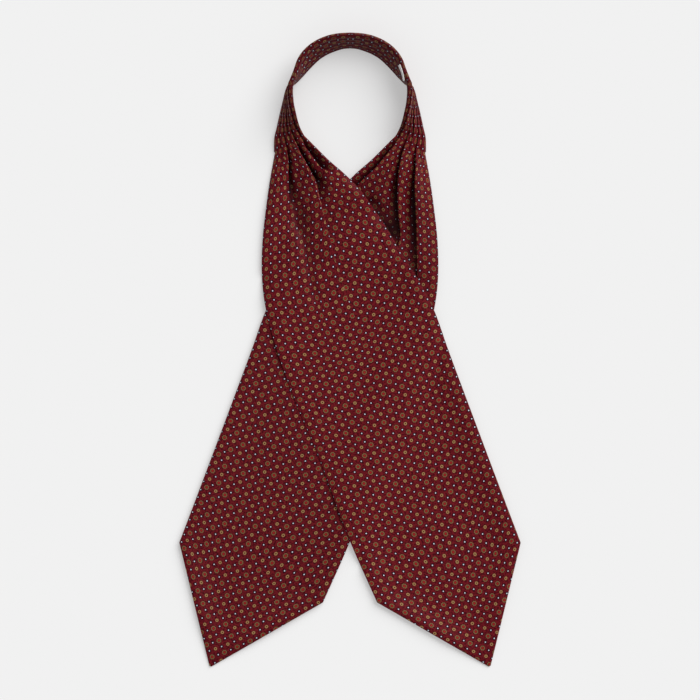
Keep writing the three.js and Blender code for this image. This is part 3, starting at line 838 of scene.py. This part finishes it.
# %% Height of what lies below
CELL = 2.0
HIGHEST_REACH, MEAN_REACH = 5, 4
MAP_LOW = np.array([-200.0, -330.0])
MAP_CELLS = (200, 330)


def spread(field, cells, gather):
    """The field gathered over a square of cells, one direction after the other"""
    for axis in (0, 1):
        shifted = [np.roll(field, k, axis=axis) for k in range(-cells, cells + 1)]
        field = gather(np.array(shifted), axis=0)
    return field


def height_below(points):
    """A smooth cover over the cloth below, as a function of the place on the table"""
    field = np.zeros(MAP_CELLS)
    cell = np.round((points[:, :2] - MAP_LOW) / CELL).astype(int)
    np.maximum.at(field, (cell[:, 0], cell[:, 1]), points[:, 2])
    field = spread(spread(field, HIGHEST_REACH, np.max), MEAN_REACH, np.mean)

    def cover(at):
        cell = (at - MAP_LOW) / CELL
        corner = np.floor(cell).astype(int)
        i, j = corner[..., 0], corner[..., 1]
        u, v = cell[..., 0] - i, cell[..., 1] - j
        low = field[i, j] * (1 - u) + field[i + 1, j] * u
        high = field[i, j + 1] * (1 - u) + field[i + 1, j + 1] * u
        return low * (1 - v) + high * v

    return cover


top_points = rings[:, :TOP_COLUMNS].reshape(-1, 3) * np.array([-1, 1, 1])
cover = height_below(top_points)
print("cover over the lower blade in the middle of the table, mm:", cover(np.array([0.0, 0.0])).round(1))

# %% The top half on the lower one
LAID_GAP = 0.1
BARE_TABLE = 0.01


def laid_over(at):
    """The cover over the lower half, with a hair of room where there is cloth below"""
    return cover(at) + LAID_GAP * (cover(at) > BARE_TABLE)


rings, *maps = cloth_rows(TOP_BLADE_FOLDS, TOP_PRINT_AHEAD, TOP_DRIFT, TOP_HOLLOWS, laid_over)
top_half = skin("top_half", rings, *maps, mirrored=False)
print("faces of the top half:", len(top_half.data.polygons))

# %% [markdown]
# ## A bench for shader nodes
# A material in Blender is a tree of nodes. Laid out by hand with the mouse, the small sums of a
# print would fill a wall. A bench with one short call for a sum, a blend of two colours and a
# soft step keeps them readable. Colours are given as they look on a screen and made linear.


# %% Node helpers
def linear(red, green, blue):
    """A colour read from a screen, as the shader wants it, by the standard curve of screens"""
    values = [c / 255 for c in (red, green, blue)]
    return (*(c / 12.92 if c < 0.04045 else ((c + 0.055) / 1.055) ** 2.4 for c in values), 1)


class Bench:
    """A small workbench for laying out shader nodes from left to right"""

    def __init__(self, name):
        self.material = bpy.data.materials.new(name)
        self.material.use_nodes = True
        self.tree = self.material.node_tree
        self.shader = self.tree.nodes["Principled BSDF"]

    def add(self, kind, **inputs):
        """A node with the given inputs, where an underscore stands for a blank in their names"""
        node = self.tree.nodes.new(kind)
        for name, value in inputs.items():
            self.join(value, node.inputs[name.replace("_", " ")])
        return node

    def join(self, value, socket):
        """Links a socket, or sets a plain value"""
        if isinstance(value, bpy.types.NodeSocket):
            self.tree.links.new(value, socket)
        else:
            socket.default_value = value

    def sum(self, operation, *values):
        """One step of arithmetic"""
        node = self.tree.nodes.new("ShaderNodeMath")
        node.operation = operation
        for value, socket in zip(values, node.inputs):
            self.join(value, socket)
        return node.outputs[0]

    def mix(self, share, first, second):
        """A blend from the first colour to the second"""
        node = self.tree.nodes.new("ShaderNodeMix")
        node.data_type = "RGBA"
        self.join(share, node.inputs[0])
        self.join(first, node.inputs[6])
        self.join(second, node.inputs[7])
        return node.outputs[2]

    def step(self, value, edge, soft):
        """1 where the value is under the edge, falling to 0 over a soft border"""
        node = self.tree.nodes.new("ShaderNodeMapRange")
        node.interpolation_type = "SMOOTHSTEP"
        self.join(value, node.inputs[0])
        for k, number in enumerate((edge - soft, edge + soft, 1.0, 0.0), start=1):
            node.inputs[k].default_value = number
        return node.outputs[0]

    def finish(self, values):
        """Sets plain values on the surface itself"""
        for name, value in values.items():
            self.shader.inputs[name].default_value = value


print("a middle grey of the screen is in light:", round(linear(128, 128, 128)[0], 3))

# %% [markdown]
# ## The small neat
# Foulard silk is printed with a small neat: medallions and gold dots in turn, with a white pin
# dot in each gap. The pattern could be painted as an image, but drawing it with a few distances
# from a grid keeps it sharp at any size and true to the cloth's own map. The grid has half a
# repeat between its sites. Where the two site numbers add up to an even one, the site holds a
# medallion, otherwise a gold dot, and the pin dots sit half a step aside.

# %% Colours of the print
GROUND = linear(58, 2, 12)
GROUND_FLECK = linear(106, 21, 29)
OUTLINE = linear(40, 8, 4)
OLIVE = linear(121, 89, 61)
GOLD = linear(150, 114, 75)
RED = linear(146, 30, 28)
PIN_WHITE = linear(204, 209, 216)
NAVY = linear(36, 8, 22)
print("ground of the silk, in light:", [round(c, 3) for c in GROUND[:3]])

# %% Sites of the grid
SITES = 2.0
STEP_ACROSS, STEP_ALONG = REPEAT_ACROSS / SITES, REPEAT_ALONG / SITES


def nearest_site(bench, steps_across, steps_along, shift):
    """Nearest site of the half-step grid, the way to it and the distance in millimetres"""
    found = []
    for value, step in ((steps_across, STEP_ACROSS), (steps_along, STEP_ALONG)):
        moved = bench.sum("ADD", value, shift)
        site = bench.sum("ROUND", moved)
        away = bench.sum("MULTIPLY", bench.sum("SUBTRACT", moved, site), step)
        found.append((site, away))
    (i, dx), (j, dy) = found
    squares = [bench.sum("MULTIPLY", away, away) for away in (dx, dy)]
    return i, j, dx, dy, bench.sum("SQRT", bench.sum("ADD", *squares))


print("steps of the grid, mm:", STEP_ACROSS, STEP_ALONG)

# %% Ground, medallions and dots
SOFT = 0.14
FLECKS = {"Scale": 11.0, "Detail": 3.0, "Roughness": 0.6}
FLECK_SHARE, FLECK_SOFT = 0.47, 0.1
MEDALLION = {"radius": 2.3, "ring": 1.4, "centre": 1.02, "petals": 8.0, "scallop": 0.16, "ragged": 0.2}
GOLD_DOT = {"radius": 1.6, "eye": 0.6}
PIN_DOT = {"radius": 0.6, "halo": 1.6, "halo_soft": 0.35}
BLEED = {"medallion": 0.45, "gold": 0.4, "soft": 0.3, "strength": 0.7}


def flecked_ground(bench, place):
    """The dark ground with its lighter flecks of thread"""
    fleck = bench.add("ShaderNodeTexNoise", Vector=place, **FLECKS)
    return bench.mix(bench.step(fleck.outputs[0], FLECK_SHARE, FLECK_SOFT), GROUND_FLECK, GROUND)


def medallions_and_gold(bench, colour, steps_across, steps_along):
    """Medallions and gold dots in turn, each with a little dark ink bled round it"""
    i, j, dx, dy, distance = nearest_site(bench, steps_across, steps_along, 0.0)
    odd = bench.sum("MODULO", bench.sum("ABSOLUTE", bench.sum("ADD", i, j)), 2.0)
    even = bench.sum("SUBTRACT", 1.0, odd)
    angle = bench.sum("ARCTAN2", dy, dx)
    petal = bench.sum("COSINE", bench.sum("MULTIPLY", angle, MEDALLION["petals"]))
    scalloped = bench.sum("SUBTRACT", distance, bench.sum("MULTIPLY", petal, MEDALLION["scallop"]))
    ragged = bench.sum("SUBTRACT", distance, bench.sum("MULTIPLY", petal, MEDALLION["ragged"]))

    medallion = bench.mix(bench.step(ragged, MEDALLION["ring"], SOFT), OLIVE, OUTLINE)
    medallion = bench.mix(bench.step(ragged, MEDALLION["centre"], SOFT), medallion, RED)
    gold = bench.mix(bench.step(distance, GOLD_DOT["eye"], SOFT), GOLD, OUTLINE)

    in_medallion = bench.sum("MULTIPLY", bench.step(scalloped, MEDALLION["radius"], SOFT), even)
    in_gold = bench.sum("MULTIPLY", bench.step(distance, GOLD_DOT["radius"], SOFT), odd)
    rims = ((MEDALLION["radius"] + BLEED["medallion"], even), (GOLD_DOT["radius"] + BLEED["gold"], odd))
    bled = [bench.sum("MULTIPLY", bench.step(distance, rim, BLEED["soft"]), here) for rim, here in rims]
    bled = bench.sum("MULTIPLY", bench.sum("MAXIMUM", *bled), BLEED["strength"])
    colour = bench.mix(bled, colour, OUTLINE)
    colour = bench.mix(in_medallion, colour, medallion)
    return bench.mix(in_gold, colour, gold)


def pin_dots(bench, colour, steps_across, steps_along):
    """White pin dots on navy grounds, half a step aside"""
    *_, pin = nearest_site(bench, steps_across, steps_along, 0.5)
    colour = bench.mix(bench.step(pin, PIN_DOT["halo"], PIN_DOT["halo_soft"]), colour, NAVY)
    return bench.mix(bench.step(pin, PIN_DOT["radius"], SOFT), colour, PIN_WHITE)


print("medallion, gold dot and pin dot across, mm:",
      [2 * motif["radius"] for motif in (MEDALLION, GOLD_DOT, PIN_DOT)])

# %% [markdown]
# ## Silk
# Silk twill has fine diagonal ribs and a soft sheen that only shows at a low angle. A wave
# texture turned into a little relief gives the ribs. The painted-shade number draws the colour
# towards a deep painted shade, where a lamp that is softer than the real one would leave the folds,
# rims and band too light. Each half has its own place on the print, and the lower half, which looks
# a tenth darker in the photo, is painted that much into the shade all over.

# %% Silk of the two halves
# DEEP, DIMMED and DIM_POWER: the painted shade laid over the silk's colour in folds, at rims and on the
# band
DEEP = linear(22, 2, 4)
DIMMED = 0.88
DIM_POWER = 1.5
RIBS = 12.0
RIB_WANDER = 0.4
RIB_RELIEF = {"Strength": 0.12, "Distance": 0.0002}
SILK_FINISH = {
    "Roughness": 0.45,
    "Specular IOR Level": 0.06,
    "Sheen Weight": 0.03,
    "Sheen Roughness": 0.4,
    "Sheen Tint": linear(230, 150, 185),
}


def with_painted_shade(bench, colour, shaded):
    """The colour, drawn towards the deep painted shade by the painted-shade number and at least by the
    given share
    """
    depth = bench.add("ShaderNodeAttribute")
    depth.attribute_name = PAINTED_SHADE
    dim = bench.sum("MULTIPLY", bench.sum("POWER", depth.outputs["Fac"], DIM_POWER), DIMMED)
    return bench.mix(bench.sum("MAXIMUM", dim, shaded), colour, DEEP)


def twill_relief(bench, place):
    """The fine diagonal ribs of the weave"""
    stretched = bench.add("ShaderNodeMapping", Vector=place)
    stretched.inputs["Scale"].default_value = (RIBS, RIBS, RIBS)
    twill = bench.add("ShaderNodeTexWave", Vector=stretched.outputs[0], Scale=1.0, Distortion=RIB_WANDER)
    twill.bands_direction = "DIAGONAL"
    return bench.add("ShaderNodeBump", Height=twill.outputs[1], **RIB_RELIEF).outputs[0]


def silk(name, shift_across, shift_along, shaded):
    """Printed silk, with the half's own place on the print and its least painted shade"""
    bench = Bench(name)
    place = bench.add("ShaderNodeUVMap")
    place.uv_map = PRINT_MAP
    parts = bench.add("ShaderNodeSeparateXYZ", Vector=place.outputs[0])
    steps_across = bench.sum("MULTIPLY_ADD", parts.outputs[0], SITES, SITES * shift_across)
    steps_along = bench.sum("MULTIPLY_ADD", parts.outputs[1], SITES, SITES * shift_along)
    colour = flecked_ground(bench, place.outputs[0])
    colour = medallions_and_gold(bench, colour, steps_across, steps_along)
    colour = pin_dots(bench, colour, steps_across, steps_along)
    bench.join(with_painted_shade(bench, colour, shaded), bench.shader.inputs["Base Color"])
    bench.join(twill_relief(bench, place.outputs[0]), bench.shader.inputs["Normal"])
    bench.finish(SILK_FINISH)
    return bench.material


top_silk = silk("silk_of_top_half", shift_across=0.24, shift_along=0.71, shaded=0.0)
# The lower half is painted a tenth into the deep shade all over: painted shade
lower_silk = silk("silk_of_lower_half", shift_across=0.25, shift_along=0.25, shaded=0.11)
top_half.data.materials.append(top_silk)
lower_half.data.materials.append(lower_silk)
print("materials:", [m.name for m in bpy.data.materials])

# %% [markdown]
# ## The label
# A small blank white tape stands on the inner face of the band at the right shoulder. Seen from
# above it shows its edge. It is bent a little along the band, which a plain box would miss, so
# it is drawn as a strip between its four corners.

# %% The strip between the corners
TAPE_CORNERS = [
    # end, edge, x, y, z
    ("back", "upper", 47.3, 271.0, 29.0), ("back", "lower", 45.9, 270.2, 22.0),
    ("front", "upper", 51.5, 255.9, 28.6), ("front", "lower", 50.6, 255.6, 20.0),
]
TAPE_THICKNESS = 0.5
TAPE_BOW = 0.6
TAPE_STEPS = 12


def tape():
    """Rings of four points between the corners, bowed a little towards the band"""
    place = {(end, edge): np.array((x, y, z), float) for end, edge, x, y, z in TAPE_CORNERS}
    run = place["front", "upper"] - place["back", "upper"]
    outward = np.array([-run[1], run[0], 0]) / np.linalg.norm(run)
    points = []
    for s in np.linspace(0, 1, TAPE_STEPS):
        bow = TAPE_BOW * (1 - (2 * s - 1) ** 2)
        for edge, sides in (("lower", (-1, 1)), ("upper", (1, -1))):
            middle = place["back", edge] * (1 - s) + place["front", edge] * s
            for side in sides:
                points.append(middle + outward * (side * TAPE_THICKNESS / 2 + bow))
    return np.array(points).reshape(TAPE_STEPS, 4, 3) * MM


low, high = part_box("label")
print("solid of the label, mm:", [round(v / MM, 1) for v in (*low, *high)])

# %% The tape
tape_rings = tape()
rows, count = tape_rings.shape[:2]
faces = []
for r in range(rows - 1):
    for c in range(count):
        here, there, after = r * count, (r + 1) * count, (c + 1) % count
        faces.append([here + c, here + after, there + after, there + c])
faces += [[3, 2, 1, 0], [(rows - 1) * count + c for c in range(count)]]
tape_mesh = bpy.data.meshes.new("label_tape")
tape_mesh.from_pydata(tape_rings.reshape(-1, 3).tolist(), [], faces)
tape_mesh.validate()
label_tape = put_in_scene("label_tape", tape_mesh)
print("faces of the tape:", len(tape_mesh.polygons))

# %% White tape
WEAVE_SCALE = 900.0
WEAVE_RELIEF = {"Strength": 0.3, "Distance": 0.0001}
SPECKLE_SCALE = 1500.0
bench = Bench("white_tape")
weave = bench.add("ShaderNodeTexWave", Scale=WEAVE_SCALE)
relief = bench.add("ShaderNodeBump", Height=weave.outputs[1], **WEAVE_RELIEF)
bench.join(relief.outputs[0], bench.shader.inputs["Normal"])
speckle = bench.add("ShaderNodeTexNoise", Scale=SPECKLE_SCALE)
white = bench.mix(speckle.outputs[0], linear(243, 243, 240), linear(226, 228, 228))
bench.join(white, bench.shader.inputs["Base Color"])
bench.finish({"Roughness": 0.7})
label_tape.data.materials.append(bench.material)
print("material of the tape:", bench.material.name)

# %% [markdown]
# ## Putting each piece on the body
# Each half stands for its blade and its side of the neck band and rides on the one body of the
# cravat, and the tape rides on it for the label. The solids they stand for are hidden.

# %% Pieces on the frame
for half, nodes in ((top_half, ("blade_over", "neck_left")), (lower_half, ("blade_under", "neck_right"))):
    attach(half, "root")
    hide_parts(*nodes)
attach(label_tape, "root")
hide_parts("label")

# %% [markdown]
# ## Floor, light and camera
# The photo is taken straight down on a pale sheet with a soft light from the upper right. A sun
# lamp with a wide disc gives an even floor and a soft shadow of the same softness everywhere.
# The floor also glows a little by itself, so that it stays as pale between the blades as it is
# beside them. The camera stands far off with a long lens, so that nothing leans outwards.

# %% The pale floor
FLOOR_HALF = 6.0
FLOOR_DROP = 0.0002
FLOOR_SHADE = 0.485
FLOOR_GLOW = 0.37
around = ((-1, -1), (1, -1), (1, 1), (-1, 1))
floor_mesh = bpy.data.meshes.new("floor")
floor_mesh.from_pydata([(x * FLOOR_HALF, y * FLOOR_HALF, 0) for x, y in around], [], [(0, 1, 2, 3)])
floor = put_in_scene("floor", floor_mesh)
floor.location.z = -FLOOR_DROP
paper = Bench("pale_paper")
paper.finish({
    "Base Color": (FLOOR_SHADE, FLOOR_SHADE, FLOOR_SHADE, 1),
    "Emission Color": (1, 1, 1, 1),
    "Emission Strength": FLOOR_GLOW,
    "Roughness": 0.9,
    "Specular IOR Level": 0.0,
})
floor.data.materials.append(paper.material)
print("side of the floor, m:", 2 * FLOOR_HALF)

# %% Sun and sky
KEY_ELEVATION = 37
KEY_SIDE = 52
KEY_STRENGTH = 3.5
KEY_DISC = 52
SKY_STRENGTH = 0.38
key = bpy.data.lights.new("key", "SUN")
key.energy = KEY_STRENGTH
key.angle = np.radians(KEY_DISC)
key_lamp = put_in_scene("key", key)
key_lamp.rotation_euler = (0, np.radians(90 - KEY_ELEVATION), np.radians(KEY_SIDE))
sky = bpy.data.worlds.new("soft_room")
sky.use_nodes = True
sky.node_tree.nodes["Background"].inputs[0].default_value = (1, 1, 1, 1)
sky.node_tree.nodes["Background"].inputs[1].default_value = SKY_STRENGTH
bpy.context.scene.world = sky
bpy.context.scene.view_settings.view_transform = "Standard"
print("height of the sun above the table, degrees:", KEY_ELEVATION)

# %% Camera
PHOTO_WIDTH = 0.6685
CAMERA_HEIGHT = 4.5
SENSOR = 36.0
VIEW_DEPTH = 50
lens = bpy.data.cameras.new("camera")
lens.sensor_width = SENSOR
lens.lens = SENSOR * CAMERA_HEIGHT / PHOTO_WIDTH
lens.clip_end = VIEW_DEPTH
camera = put_in_scene("camera", lens)
camera.location = (0, 0, CAMERA_HEIGHT)
bpy.context.scene.camera = camera
print("lens, mm:", round(lens.lens, 1))
